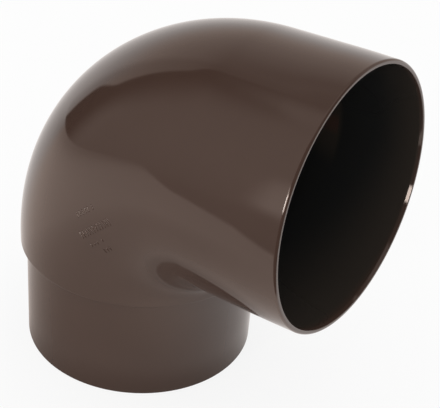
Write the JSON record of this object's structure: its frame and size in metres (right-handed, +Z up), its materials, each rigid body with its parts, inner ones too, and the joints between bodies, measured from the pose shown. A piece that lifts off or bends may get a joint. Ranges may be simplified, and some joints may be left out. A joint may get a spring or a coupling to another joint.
{
  "type": "pipe bend",
  "caption": "Moulded plastic rainwater pipe bend of nearly a right angle, with a plain spigot below and a socket at the side.",
  "frame": {"origin": "centre of the spigot's end, on the surface that the bend stands on", "axes": "+Z up along the spigot, +X the way the socket faces, 2.5 degrees below the socket's own axis"},
  "size_m": [0.1518, 0.1052, 0.1578],
  "materials": {
    "brown_plastic": "smooth moulded, softly glossy, dark brown all through"
  },
  "bodies": {
    "root": {"pipe_bend": "brown_plastic"}
  },
  "joints": []
}
